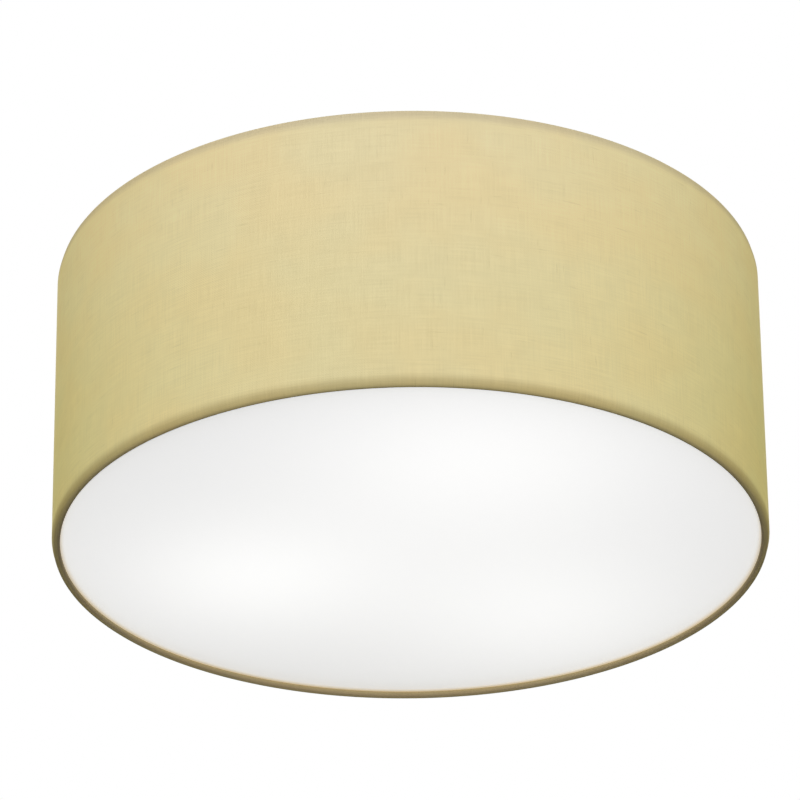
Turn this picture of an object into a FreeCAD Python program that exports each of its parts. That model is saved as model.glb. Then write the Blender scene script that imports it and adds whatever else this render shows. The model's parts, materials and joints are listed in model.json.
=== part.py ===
import FreeCAD, Part
import os
from math import acos, cos, hypot, pi, radians, sin, tan

# Flush mount drum ceiling light for three E27 lamps, in millimetres.
# The origin is the middle of the mounting bar's top face, on the ceiling. +Z points up, so the light hangs
# below z = 0.

# Drum shade
SHADE_DIAMETER = 500.0
SHADE_HEIGHT = 210.0
CEILING_GAP = 4.0  # ceiling to the shade's top edge
CLOTH = 0.6
LINER = 0.8
GLUE = 0.1  # glue line between cloth, liner and ring wire
RING_WIRE = 3.5
RING_SIDES = 6
HEM_RISE = 3.0  # height over which the cloth draws in to the ring
HEM_BEVEL = 1.45  # how far past the wire's middle the hem stays flat
SEAM_WIDTH = 12.0
SEAM_STEP = 0.5
SEAM_ANGLE = 110.0

# Opal diffuser, laid loose on the lower hem
DIFFUSER_THICKNESS = 2.0
DIFFUSER_SIDE_PLAY = 1.0
DIFFUSER_SEAT_PLAY = 0.2

# Ceiling pan
PAN_DIAMETER = 364.0
PAN_DEPTH = 22.0
PAN_SHEET = 0.8
PAN_DRAFT = 2.0  # how much narrower than its rim the pan is at the bevel
PAN_BEVEL = 3.0

# Mounting bar and the screws that pull the pan up to it
BAR_LENGTH = 130.0
BAR_WIDTH = 24.0
BAR_THICKNESS = 2.0
BAR_SLOT_SPACING = 72.0
BAR_SLOT_LENGTH = 16.0
BAR_SLOT_WIDTH = 5.0
BAR_CABLE_HOLE = 16.0
PAN_SCREW_SPACING = 112.0
SCREW_DIAMETER = 4.0
SCREW_HEAD_DIAMETER = 8.0
SCREW_HEAD_HEIGHT = 2.4
SCREW_PLAY = 0.25  # round a screw in a plain hole
THREAD_PLAY = 0.05  # round a screw in its tapped hole
SCREW_END_GAP = 0.3  # screw end to the ceiling

# Twist lock: keyhole arms of the shade on shoulder studs of the pan
ARM_ANGLES = (90.0, 210.0, 330.0)
ARM_WIDTH = 16.0
ARM_SHEET = 1.5
ARM_BEND = 3.0
ARM_TOP_PLAY = 0.4
ARM_RISER_GAP = 8.0  # pan rim to the foot of the riser
ARM_RISER_RUN = 9.0
WELD_GAP = 0.05
NOTCH_PLAY = 0.4
TWIST_ANGLE = 10.0
STUD_EDGE = 12.0  # stud centre to the pan's rim
STUD_DIAMETER = 5.0
STUD_HEAD_DIAMETER = 10.0
STUD_HEAD_HEIGHT = 2.0
STUD_HEAD_PLAY = 0.2
SLOT_PLAY = 0.3
ENTRY_PLAY = 0.5
KEYHOLE_MARGIN = 3.5

# Lamp bracket
LAMP_ANGLES = (270.0, 30.0, 150.0)
LAMP_DROP = 60.0  # ceiling to the lamps' axes
BRACKET_SHEET = 1.5
BRACKET_WIDTH = 24.0
BRACKET_BEND = 2.0
BRACKET_LEG_RADIUS = 25.0  # centre to the legs' inner faces
BRACKET_PLATE_RADIUS = 20.0
RIVET_CIRCLE = 15.0
RIVET_DIAMETER = 4.0
RIVET_HEAD_DIAMETER = 6.5
RIVET_HEAD_HEIGHT = 1.0

# Lampholders on hollow threaded nipples
NIPPLE_DIAMETER = 10.0
NIPPLE_BORE = 7.6
NIPPLE_LENGTH = 14.0
NUT_WIDTH = 14.0
NUT_THICKNESS = 3.0
HOLDER_BASE_DIAMETER = 34.0
HOLDER_BASE_LENGTH = 16.0
HOLDER_SKIRT_DIAMETER = 41.0
HOLDER_LENGTH = 50.0
HOLDER_ENTRY_DEPTH = 8.0
HOLDER_FLOOR = 18.0  # back face to the floor of the lamp socket
HOLDER_MOUTH_CHAMFER = 2.4
SHELL_SHEET = 0.5
SHELL_LENGTH = 24.0
SHELL_FIT = 0.05
PIN_DIAMETER = 4.2
PIN_HEAD_DIAMETER = 8.0
PIN_HEAD_HEIGHT = 1.2
PIN_PLAY = 0.2
PIN_POCKET = 8.0
PIN_END_GAP = 0.8
PIN_TIP_GAP = 0.2

# LED lamps with an E27 cap
CAP_DIAMETER = 26.4
CAP_PLAY = 0.3
CAP_TIP = 52.0  # centre of the light to the cap's contact
CAP_LENGTH = 25.0
CAP_BUTTON_DIAMETER = 9.2
CAP_BUTTON_HEIGHT = 1.2
CAP_CONE_LENGTH = 4.5
CAP_LIP = 2.0
LAMP_DIAMETER = 60.0
LAMP_LENGTH = 106.0
LAMP_NECK_DIAMETER = 28.6
LAMP_NECK_LENGTH = 5.0
GLOBE_WALL = 1.5
GLOBE_INSIDE_STEPS = 6  # straight steps of the dome's hidden inside, mouth to crown
GLOBE_EDGE = 16.0  # globe's middle back to its joint with the housing

# Terminal block, earth screw, grommet and leads
BLOCK_POLES = 3
BLOCK_PITCH = 12.0
BLOCK_GROOVE = 2.0
BLOCK_WIDTH = 16.0
BLOCK_HEIGHT = 18.0
BLOCK_BASE_HEIGHT = 6.0
TURRET_DIAMETER = 7.6
TURRET_HEIGHT = 2.2
TURRET_BORE = 4.6
TURRET_DEPTH = 6.0
BLOCK_ENTRY_DEPTH = 4.0
BLOCK_ENTRY_PLAY = 0.4  # round a lead in its entry
BLOCK_FRONT = 33.0  # centre of the light to the block's front face
LEAD_DIAMETER = 2.0
LEAD_SIDES = 6
LEAD_RING = 2.7  # circle of the six leads in the grommet
LEAD_LEVELS = (5.8, 8.2, 10.6, 13.0)  # below the ceiling
LEAD_TOP_RADII = (11.0, 8.0, 8.0, 6.0)
LEAD_STRAIGHT = 9.0  # straight stretch in front of the block
LEAD_PLAY = 0.5
GROMMET_NECK_DIAMETER = 13.0
GROMMET_FLANGE_DIAMETER = 17.0
GROMMET_FLANGE_HEIGHT = 1.4
GROMMET_FIT = 0.05
EARTH_SCREW_AT = (-26.0, 16.0)
EARTH_LEVEL = 16.8
TAG_DIAMETER = 8.4
TAG_SHEET = 0.8
TAG_BARREL_DIAMETER = 3.2
TAG_BARREL = (4.0, 8.0)  # from the earth screw's axis

# Places that follow from the sizes
SHADE_RADIUS = SHADE_DIAMETER / 2
HEM_HALF = RING_WIRE / 2 + GLUE + CLOTH
RING_RADIUS = SHADE_RADIUS - CLOTH - GLUE - LINER - GLUE - RING_WIRE / 2
TOP_RING_Z = -CEILING_GAP - HEM_HALF
BOTTOM_RING_Z = -CEILING_GAP - SHADE_HEIGHT + HEM_HALF
LINER_OUTSIDE = SHADE_RADIUS - CLOTH - GLUE
PAN_UNDER = -PAN_DEPTH
PAN_FLOOR = PAN_UNDER + PAN_SHEET
STUD_CIRCLE = PAN_DIAMETER / 2 - STUD_EDGE
ARM_TOP = PAN_UNDER - ARM_TOP_PLAY
LAMP_Z = -LAMP_DROP
HOLDER_BACK = BRACKET_LEG_RADIUS + BRACKET_SHEET
HOLDER_SOCKET = HOLDER_BACK + HOLDER_FLOOR
SHELL_INSIDE = CAP_DIAMETER / 2 + CAP_PLAY
SOCKET_RADIUS = SHELL_INSIDE + SHELL_SHEET + SHELL_FIT
ENTRY_BOTTOM = HOLDER_BACK + HOLDER_ENTRY_DEPTH
BLOCK_TOP = PAN_FLOOR + BLOCK_HEIGHT
GROMMET_BORE_RADIUS = LEAD_RING + LEAD_DIAMETER / 2 + LEAD_PLAY

UP = FreeCAD.Vector(0, 0, 1)
CENTRE = FreeCAD.Vector(0, 0, 0)


def point(x, y, z=0.0):
    return FreeCAD.Vector(x, y, z)


def rounded(points, radii, closed):
    """A wire of straight runs, with a tangent arc of radii[i] in place of points[i] where it isn't 0."""
    count = len(points)
    starts, ends, arcs = [], [], []
    for i, corner in enumerate(points):
        before = (points[i - 1] - corner) if closed or i else None
        after = (points[(i + 1) % count] - corner) if closed or i < count - 1 else None
        if not radii[i] or before is None or after is None:
            starts.append(corner)
            ends.append(corner)
            arcs.append(None)
            continue
        before.normalize()
        after.normalize()
        half = before.getAngle(after) / 2
        cut = radii[i] / tan(half)
        middle = before + after
        middle.normalize()
        starts.append(corner + before * cut)
        ends.append(corner + after * cut)
        arcs.append(corner + middle * (radii[i] / sin(half) - radii[i]))
    edges = []
    for i in range(count):
        if arcs[i] is not None:
            edges.append(Part.Arc(starts[i], arcs[i], ends[i]).toShape())
        if i < count - 1 or closed:
            edges.append(Part.LineSegment(ends[i], starts[(i + 1) % count]).toShape())
    return Part.Wire(edges)


def polygon(points):
    return Part.Face(rounded(points, [0] * len(points), True))


def section(points):
    """A face in the XZ plane from (radius, height) points."""
    return polygon([point(r, 0, z) for r, z in points])


def ring(points):
    """The (radius, height) points turned once round the light's axis."""
    return section(points).revolve(CENTRE, UP, 360)


def lathe(points):
    """The (distance from the centre, radius) points turned once round a lamp's axis, for the lamp on +X."""
    face = section([(along, LAMP_Z + radius) for along, radius in points])
    return face.revolve(point(0, 0, LAMP_Z), point(1, 0, 0), 360)


def cylinder(radius, low, high, x=0.0, y=0.0):
    return Part.makeCylinder(radius, high - low, point(x, y, low))


def lamp_cylinder(radius, near, far):
    """A cylinder on the axis of the lamp on +X."""
    return Part.makeCylinder(radius, far - near, point(near, 0, LAMP_Z), point(1, 0, 0))


def box(x, y, z):
    """A box from three (low, high) pairs."""
    return Part.makeBox(x[1] - x[0], y[1] - y[0], z[1] - z[0], point(x[0], y[0], z[0]))


def turned(shape, angle):
    """A copy of the shape, turned about the light's axis by an angle in degrees."""
    copy = shape.copy()
    copy.rotate(CENTRE, UP, angle)
    return copy


def at_angle(radius, angle):
    return radius * cos(radians(angle)), radius * sin(radians(angle))


def sheet_section(points, thickness, bend):
    """The XZ section of a sheet bent along its middle line through (radius, height) points."""
    runs = []
    for (r0, z0), (r1, z1) in zip(points, points[1:]):
        length = hypot(r1 - r0, z1 - z0)
        runs.append(((r1 - r0) / length, (z1 - z0) / length))
    sides, radii = ([], []), ([], [])
    for i, (r, z) in enumerate(points):
        ur, uz = runs[max(i - 1, 0)]
        vr, vz = runs[min(i, len(runs) - 1)]
        reach = thickness / 2 / (1 + ur * vr + uz * vz)
        turn = ur * vz - uz * vr
        for side, sign in ((0, 1), (1, -1)):
            sides[side].append(point(r - sign * reach * (uz + vz), 0, z + sign * reach * (ur + vr)))
            inner = turn * sign > 0
            radii[side].append(0 if abs(turn) < 1e-9 or not bend else bend + (0 if inner else thickness))
    outline = sides[0] + sides[1][::-1]
    return Part.Face(rounded(outline, radii[0] + radii[1][::-1], True))


def tube(points, radii):
    """A lead's solid along straight runs and tangent arcs."""
    path = rounded(points, [0] + radii + [0], False)
    along = points[1] - points[0]
    turn = FreeCAD.Rotation(UP, along)
    corners = []
    for i in range(LEAD_SIDES):
        angle = 2 * pi * i / LEAD_SIDES
        spoke = point(cos(angle), sin(angle)) * (LEAD_DIAMETER / 2)
        corners.append(points[0] + turn.multVec(spoke))
    outline = rounded(corners, [0] * LEAD_SIDES, True)
    return path.makePipeShell([outline], True, False)


def slot(length, width, low, high, x):
    """A slot of this whole length along X, with round ends."""
    half = (length - width) / 2
    ends = [cylinder(width / 2, low, high, x + side * half) for side in (-1, 1)]
    middle = box((x - half, x + half), (-width / 2, width / 2), (low, high))
    return middle.fuse(ends)


def screw(x, y, head_low, head_high, shank_low, shank_high):
    head = cylinder(SCREW_HEAD_DIAMETER / 2, head_low, head_high, x, y)
    return head.fuse(cylinder(SCREW_DIAMETER / 2, shank_low, shank_high, x, y))


def export(name, *solids):
    """Writes one node: each argument is one solid of it."""
    shapes = []
    for solid in solids:
        clean = solid.removeSplitter()
        shapes.append(clean.Solids[0] if len(clean.Solids) == 1 else clean)
    shape = shapes[0] if len(shapes) == 1 else Part.makeCompound(shapes)
    shape.exportStep(os.path.join("parts", name + ".step"))


# Shade

def hem_points(ring_z, down):
    """Outer and inner points of one hem, from its free edge to the wall. down is -1 for the bottom hem."""
    free = ring_z - down * HEM_HALF
    end = ring_z + down * HEM_HALF
    inside = RING_RADIUS - HEM_HALF
    wall = ring_z - down * HEM_RISE
    bend = RING_RADIUS + HEM_BEVEL
    outer = [(inside, free), (inside, end), (bend + CLOTH / 2, end), (SHADE_RADIUS, wall)]
    inner = [
        (inside + CLOTH, free),
        (inside + CLOTH, end - down * CLOTH),
        (bend, end - down * CLOTH),
        (SHADE_RADIUS - CLOTH, wall),
    ]
    return outer, inner


def arm_notch():
    """Slit in the top hem for the arm on +X."""
    inside = RING_RADIUS - HEM_HALF
    reach = ARM_WIDTH / 2 + NOTCH_PLAY
    height = ARM_SHEET / 2 + NOTCH_PLAY
    return box(
        (inside - ARM_SHEET, inside + CLOTH + GLUE),
        (-reach, reach),
        (TOP_RING_Z - height, TOP_RING_Z + height),
    )


def shade_cloth():
    low_outer, low_inner = hem_points(BOTTOM_RING_Z, -1)
    top_outer, top_inner = hem_points(TOP_RING_Z, 1)
    cloth = ring(low_outer + top_outer[::-1] + top_inner + low_inner[::-1])
    lap = section([
        (SHADE_RADIUS - CLOTH / 2, BOTTOM_RING_Z + HEM_RISE),
        (SHADE_RADIUS + SEAM_STEP, BOTTOM_RING_Z + HEM_RISE),
        (SHADE_RADIUS + SEAM_STEP, TOP_RING_Z - HEM_RISE),
        (SHADE_RADIUS - CLOTH / 2, TOP_RING_Z - HEM_RISE),
    ])
    span = SEAM_WIDTH / SHADE_RADIUS * 180 / pi
    seam = turned(lap.revolve(CENTRE, UP, span), SEAM_ANGLE - span / 2)
    return cloth.fuse(seam).cut([turned(arm_notch(), angle) for angle in ARM_ANGLES])


def shade_liner():
    low, high = BOTTOM_RING_Z + HEM_RISE, TOP_RING_Z - HEM_RISE
    inside = LINER_OUTSIDE - LINER
    return ring([(inside, low), (LINER_OUTSIDE, low), (LINER_OUTSIDE, high), (inside, high)])


def wire_ring(height):
    corners = []
    for i in range(RING_SIDES):
        angle = 2 * pi * i / RING_SIDES
        corners.append((RING_RADIUS + RING_WIRE / 2 * cos(angle), height + RING_WIRE / 2 * sin(angle)))
    return ring(corners)


def keyhole():
    """Cutter for the arm on +X: an arc slot with the stud's rest at one end and its entry at the other."""
    low, high = ARM_TOP - 2 * ARM_SHEET, ARM_TOP + ARM_SHEET
    half = STUD_DIAMETER / 2 + SLOT_PLAY
    track = section([
        (STUD_CIRCLE - half, low),
        (STUD_CIRCLE + half, low),
        (STUD_CIRCLE + half, high),
        (STUD_CIRCLE - half, high),
    ])
    arc = turned(track.revolve(CENTRE, UP, TWIST_ANGLE), -TWIST_ANGLE / 2)
    rest = cylinder(half, low, high, *at_angle(STUD_CIRCLE, -TWIST_ANGLE / 2))
    entry_radius = STUD_HEAD_DIAMETER / 2 + ENTRY_PLAY
    entry = cylinder(entry_radius, low, high, *at_angle(STUD_CIRCLE, TWIST_ANGLE / 2))
    return arc.fuse([rest, entry])


def arm():
    """The arm on +X: a strip bent down from the top ring to the pan's underside, with a keyhole paddle."""
    paddle_half = STUD_HEAD_DIAMETER / 2 + ENTRY_PLAY + KEYHOLE_MARGIN
    foot = PAN_DIAMETER / 2 + ARM_RISER_GAP
    ring_face = RING_RADIUS - RING_WIRE / 2 - WELD_GAP
    line = [
        (STUD_CIRCLE, ARM_TOP - ARM_SHEET / 2),
        (foot, ARM_TOP - ARM_SHEET / 2),
        (foot + ARM_RISER_RUN, TOP_RING_Z),
        (RING_RADIUS, TOP_RING_Z),
    ]
    strip = sheet_section(line, ARM_SHEET, ARM_BEND).extrude(point(0, ARM_WIDTH, 0))
    strip.translate(point(0, -ARM_WIDTH / 2, 0))
    paddle = section([
        (STUD_CIRCLE - paddle_half, ARM_TOP - ARM_SHEET),
        (STUD_CIRCLE + paddle_half, ARM_TOP - ARM_SHEET),
        (STUD_CIRCLE + paddle_half, ARM_TOP),
        (STUD_CIRCLE - paddle_half, ARM_TOP),
    ])
    span = TWIST_ANGLE + 2 * paddle_half / STUD_CIRCLE * 180 / pi
    plate = turned(paddle.revolve(CENTRE, UP, span), -span / 2)
    reach = cylinder(ring_face, ARM_TOP - 2 * ARM_SHEET, 0)
    return strip.fuse(plate).common(reach).cut(keyhole())


def diffuser():
    low = BOTTOM_RING_Z + HEM_HALF + DIFFUSER_SEAT_PLAY
    return cylinder(LINER_OUTSIDE - LINER - DIFFUSER_SIDE_PLAY, low, low + DIFFUSER_THICKNESS)


# Ceiling side

def mounting_bar():
    low = -BAR_THICKNESS
    bar = slot(BAR_LENGTH, BAR_WIDTH, low, 0, 0)
    holes = [cylinder(BAR_CABLE_HOLE / 2, low, 0)]
    for side in (-1, 1):
        holes.append(slot(BAR_SLOT_LENGTH, BAR_SLOT_WIDTH, low, 0, side * BAR_SLOT_SPACING / 2))
        tapped = SCREW_DIAMETER / 2 + THREAD_PLAY
        holes.append(cylinder(tapped, low, 0, side * PAN_SCREW_SPACING / 2))
    return bar.cut(holes)


def ceiling_pan():
    half = PAN_SHEET / 2
    rim = PAN_DIAMETER / 2 - half
    corner = rim - PAN_DRAFT
    line = [
        (rim + PAN_DRAFT, PAN_DEPTH),
        (rim, 0),
        (corner, PAN_UNDER + half + PAN_BEVEL),
        (corner - PAN_BEVEL, PAN_UNDER + half),
        (GROMMET_NECK_DIAMETER / 2, PAN_UNDER + half),
    ]
    below_ceiling = cylinder(PAN_DIAMETER, PAN_UNDER - PAN_SHEET, 0)
    pan = sheet_section(line, PAN_SHEET, 0).revolve(CENTRE, UP, 360).common(below_ceiling)
    clear = SCREW_DIAMETER / 2 + SCREW_PLAY
    places = [(side * PAN_SCREW_SPACING / 2, 0, clear) for side in (-1, 1)]
    places.append((*EARTH_SCREW_AT, SCREW_DIAMETER / 2 + THREAD_PLAY))
    for angle in ARM_ANGLES:
        stud_angle = angle - TWIST_ANGLE / 2
        places.append((*at_angle(STUD_CIRCLE, stud_angle), STUD_DIAMETER / 2 + THREAD_PLAY))
        places.append((*at_angle(RIVET_CIRCLE, angle), RIVET_DIAMETER / 2 + THREAD_PLAY))
    low, high = PAN_UNDER - PAN_SHEET, PAN_FLOOR + PAN_SHEET
    return pan.cut([cylinder(radius, low, high, x, y) for x, y, radius in places])


def pan_screws():
    screws = []
    for side in (-1, 1):
        x = side * PAN_SCREW_SPACING / 2
        screws.append(screw(x, 0, PAN_UNDER - SCREW_HEAD_HEIGHT, PAN_UNDER, PAN_UNDER, -SCREW_END_GAP))
    return screws


def hanging_stud(x, y):
    """A shoulder stud riveted into the pan."""
    head_top = ARM_TOP - ARM_SHEET - STUD_HEAD_PLAY
    head = cylinder(STUD_HEAD_DIAMETER / 2, head_top - STUD_HEAD_HEIGHT, head_top, x, y)
    shank = cylinder(STUD_DIAMETER / 2, head_top, PAN_FLOOR, x, y)
    upset = cylinder(RIVET_HEAD_DIAMETER / 2, PAN_FLOOR, PAN_FLOOR + RIVET_HEAD_HEIGHT, x, y)
    return head.fuse([shank, upset])


def lamp_bracket():
    """A pressed plate under the pan, with one leg bent down behind each lampholder."""
    middle = PAN_UNDER - BRACKET_SHEET / 2
    leg_middle = BRACKET_LEG_RADIUS + BRACKET_SHEET / 2
    bottom = LAMP_Z - BRACKET_WIDTH / 2
    line = [(0, middle), (leg_middle, middle), (leg_middle, bottom)]
    side = sheet_section(line, BRACKET_SHEET, BRACKET_BEND)
    strip = side.extrude(point(0, BRACKET_WIDTH, 0))
    strip.translate(point(0, -BRACKET_WIDTH / 2, 0))
    half = BRACKET_WIDTH / 2
    keep = box((0, HOLDER_BACK), (-half, half), (LAMP_Z, PAN_UNDER))
    keep = keep.fuse(lamp_cylinder(half, 0, HOLDER_BACK))
    nipple_hole = lamp_cylinder(NIPPLE_DIAMETER / 2 + SCREW_PLAY, BRACKET_LEG_RADIUS / 2, HOLDER_BACK)
    leg = strip.common(keep).cut(nipple_hole)
    low = PAN_UNDER - BRACKET_SHEET
    bracket = cylinder(BRACKET_PLATE_RADIUS, low, PAN_UNDER).fuse([turned(leg, a) for a in LAMP_ANGLES])
    holes = [cylinder(GROMMET_NECK_DIAMETER / 2, low, PAN_UNDER)]
    for angle in ARM_ANGLES:
        x, y = at_angle(RIVET_CIRCLE, angle)
        holes.append(cylinder(RIVET_DIAMETER / 2 + THREAD_PLAY, low, PAN_UNDER, x, y))
    return bracket.cut(holes)


def bracket_rivet(angle):
    x, y = at_angle(RIVET_CIRCLE, angle)
    low = PAN_UNDER - BRACKET_SHEET
    head = cylinder(RIVET_HEAD_DIAMETER / 2, low - RIVET_HEAD_HEIGHT, low, x, y)
    shank = cylinder(RIVET_DIAMETER / 2, low, PAN_FLOOR, x, y)
    upset = cylinder(RIVET_HEAD_DIAMETER / 2, PAN_FLOOR, PAN_FLOOR + RIVET_HEAD_HEIGHT, x, y)
    return head.fuse([shank, upset])


def lead_grommet():
    """Bush that lines the hole through the pan and the bracket's plate."""
    neck = GROMMET_NECK_DIAMETER / 2 - GROMMET_FIT
    flange = GROMMET_FLANGE_DIAMETER / 2
    plate = PAN_UNDER - BRACKET_SHEET
    return ring([
        (GROMMET_BORE_RADIUS, plate - GROMMET_FLANGE_HEIGHT),
        (flange, plate - GROMMET_FLANGE_HEIGHT),
        (flange, plate),
        (neck, plate),
        (neck, PAN_FLOOR),
        (flange, PAN_FLOOR),
        (flange, PAN_FLOOR + GROMMET_FLANGE_HEIGHT),
        (GROMMET_BORE_RADIUS, PAN_FLOOR + GROMMET_FLANGE_HEIGHT),
    ])


# Lampholders and lamps, each for the lamp on +X

def lampholder():
    base, skirt = HOLDER_BASE_DIAMETER / 2, HOLDER_SKIRT_DIAMETER / 2
    front = HOLDER_BACK + HOLDER_LENGTH
    step = HOLDER_BACK + HOLDER_BASE_LENGTH
    entry = NIPPLE_DIAMETER / 2 + THREAD_PLAY
    pocket = PIN_DIAMETER / 2 + PIN_PLAY
    chamfer = HOLDER_MOUTH_CHAMFER
    body = lathe([
        (ENTRY_BOTTOM, 0),
        (ENTRY_BOTTOM, entry),
        (HOLDER_BACK, entry),
        (HOLDER_BACK, base),
        (step, base),
        (step, skirt),
        (front, skirt),
        (front, SOCKET_RADIUS + chamfer),
        (front - chamfer, SOCKET_RADIUS),
        (HOLDER_SOCKET, SOCKET_RADIUS),
        (HOLDER_SOCKET, pocket),
        (HOLDER_SOCKET - PIN_POCKET, pocket),
        (HOLDER_SOCKET - PIN_POCKET, 0),
    ])
    return body


def screw_shell():
    far = HOLDER_SOCKET + SHELL_LENGTH
    outside = SHELL_INSIDE + SHELL_SHEET
    return lathe([
        (HOLDER_SOCKET, SHELL_INSIDE),
        (HOLDER_SOCKET, outside),
        (far, outside),
        (far, SHELL_INSIDE),
    ])


def contact_pin():
    head = CAP_TIP - PIN_TIP_GAP
    stem = head - PIN_HEAD_HEIGHT
    return lathe([
        (HOLDER_SOCKET - PIN_POCKET + PIN_END_GAP, 0),
        (HOLDER_SOCKET - PIN_POCKET + PIN_END_GAP, PIN_DIAMETER / 2),
        (stem, PIN_DIAMETER / 2),
        (stem, PIN_HEAD_DIAMETER / 2),
        (head, PIN_HEAD_DIAMETER / 2),
        (head, 0),
    ])


def holder_nipple():
    far = ENTRY_BOTTOM
    near = far - NIPPLE_LENGTH
    return lathe([
        (near, NIPPLE_BORE / 2),
        (near, NIPPLE_DIAMETER / 2),
        (far, NIPPLE_DIAMETER / 2),
        (far, NIPPLE_BORE / 2),
    ])


def holder_nut():
    near = BRACKET_LEG_RADIUS - NUT_THICKNESS
    corners = []
    for i in range(6):
        angle = radians(60 * i)
        spoke = NUT_WIDTH / 2 / cos(radians(30))
        corners.append(point(near, spoke * cos(angle), LAMP_Z + spoke * sin(angle)))
    nut = polygon(corners).extrude(point(NUT_THICKNESS, 0, 0))
    return nut.cut(lamp_cylinder(NIPPLE_DIAMETER / 2 + THREAD_PLAY, near, BRACKET_LEG_RADIUS))


def lamp_cap():
    button, shell = CAP_BUTTON_DIAMETER / 2, CAP_DIAMETER / 2
    cone = CAP_TIP + CAP_BUTTON_HEIGHT
    thread = cone + CAP_CONE_LENGTH
    end = CAP_TIP + CAP_LENGTH
    return lathe([
        (CAP_TIP, 0),
        (CAP_TIP, button - CAP_BUTTON_HEIGHT / 2),
        (cone, button),
        (cone, button + CAP_LIP),
        (thread, shell - CAP_LIP / 2),
        (thread + CAP_LIP, shell),
        (end, shell),
        (end, 0),
    ])


def globe_joint():
    """(distance from the centre, radius) of the joint between a lamp's housing and its globe."""
    middle = CAP_TIP + LAMP_LENGTH - LAMP_DIAMETER / 2
    return middle - GLOBE_EDGE, ((LAMP_DIAMETER / 2) ** 2 - GLOBE_EDGE ** 2) ** 0.5


def lamp_housing():
    near = CAP_TIP + CAP_LENGTH
    far, wide = globe_joint()
    neck = LAMP_NECK_DIAMETER / 2
    flare = near + LAMP_NECK_LENGTH
    return lathe([(near, 0), (near, neck), (flare, neck), (far, wide), (far, 0)])


def lamp_globe():
    """A hollow dome, open where it meets the housing. Its hidden inside is a row of straight steps."""
    start, wide = globe_joint()
    radius = LAMP_DIAMETER / 2
    middle = CAP_TIP + LAMP_LENGTH - radius
    inner = radius - GLOBE_WALL

    def on_dome(size, turn):
        return point(middle + size * cos(turn), 0, LAMP_Z + size * sin(turn))

    mouth = point(start, 0, LAMP_Z + wide)
    mouth_turn = acos(-GLOBE_EDGE / inner)
    inside = [on_dome(inner, mouth_turn * i / GLOBE_INSIDE_STEPS) for i in range(GLOBE_INSIDE_STEPS + 1)]
    edges = [Part.Arc(mouth, on_dome(radius, pi / 4), on_dome(radius, 0)).toShape()]
    corners = [on_dome(radius, 0)] + inside + [mouth]
    for near, far in zip(corners, corners[1:]):
        edges.append(Part.LineSegment(near, far).toShape())
    face = Part.Face(Part.Wire(edges))
    return face.revolve(point(0, 0, LAMP_Z), point(1, 0, 0), 360)


# Wiring

def block_entry(x, bottom_level, top_level):
    """Cutter for the slot in a pole's front face that holds the leads between two levels."""
    reach = LEAD_DIAMETER / 2 + BLOCK_ENTRY_PLAY
    return box(
        (x - reach, x + reach),
        (BLOCK_FRONT, BLOCK_FRONT + BLOCK_ENTRY_DEPTH),
        (-bottom_level - reach, -top_level + reach),
    )


def terminal_block():
    """A strip of separate poles on one base on the pan's floor, each with a turret for its screw."""
    length = BLOCK_POLES * BLOCK_PITCH
    back = BLOCK_FRONT + BLOCK_WIDTH
    base = box((-length / 2, length / 2), (BLOCK_FRONT, back), (PAN_FLOOR, PAN_FLOOR + BLOCK_BASE_HEIGHT))
    middle = (BLOCK_FRONT + back) / 2
    turret_top = BLOCK_TOP + TURRET_HEIGHT
    poles, cuts = [], []
    for i in range(BLOCK_POLES):
        x = (i - (BLOCK_POLES - 1) / 2) * BLOCK_PITCH
        half = (BLOCK_PITCH - BLOCK_GROOVE) / 2
        poles.append(box((x - half, x + half), (BLOCK_FRONT, back), (PAN_FLOOR, BLOCK_TOP)))
        poles.append(cylinder(TURRET_DIAMETER / 2, BLOCK_TOP, turret_top, x, middle))
        cuts.append(cylinder(TURRET_BORE / 2, turret_top - TURRET_DEPTH, turret_top, x, middle))
        if x:
            cuts.append(block_entry(x, LEAD_LEVELS[-1], LEAD_LEVELS[0]))
        else:
            cuts.append(block_entry(x, EARTH_LEVEL, EARTH_LEVEL))
    return base.fuse(poles).cut(cuts)


def lamp_lead(lamp_angle, offset, pole, level):
    """A lead from a pole of the block, down through the grommet and out to a lampholder. The six leads share
    one circle in the grommet; offset is -1 or 1 for the two beside a lamp's axis."""
    x, y = at_angle(LEAD_RING, lamp_angle + offset * 30)
    z = -LEAD_LEVELS[level]
    out_x, out_y = at_angle(ENTRY_BOTTOM - LEAD_RING * cos(radians(30)), lamp_angle)
    pole_x = pole * BLOCK_PITCH
    route = [
        point(pole_x, BLOCK_FRONT + BLOCK_ENTRY_DEPTH, z),
        point(pole_x, BLOCK_FRONT - LEAD_STRAIGHT, z),
        point(x, y, z),
        point(x, y, LAMP_Z),
        point(x + out_x, y + out_y, LAMP_Z),
    ]
    side_turn = (route[1] - route[0]).getAngle(route[2] - route[1])
    first = 0.45 * LEAD_STRAIGHT / tan(side_turn / 2)
    last = 0.45 * (route[4] - route[3]).Length
    return tube(route, [first, LEAD_TOP_RADII[level], last])


def live_leads():
    live = -1
    return [
        lamp_lead(LAMP_ANGLES[0], -1, live, 0),
        lamp_lead(LAMP_ANGLES[1], -1, live, 1),
        lamp_lead(LAMP_ANGLES[2], -1, live, 3),
    ]


def neutral_leads():
    neutral = 1
    return [
        lamp_lead(LAMP_ANGLES[0], 1, neutral, 0),
        lamp_lead(LAMP_ANGLES[1], 1, neutral, 3),
        lamp_lead(LAMP_ANGLES[2], 1, neutral, 2),
    ]


def earth_screw():
    x, y = EARTH_SCREW_AT
    seat = PAN_FLOOR + TAG_SHEET
    return screw(x, y, seat, seat + SCREW_HEAD_HEIGHT, PAN_UNDER - SCREW_HEAD_HEIGHT, seat)


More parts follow.
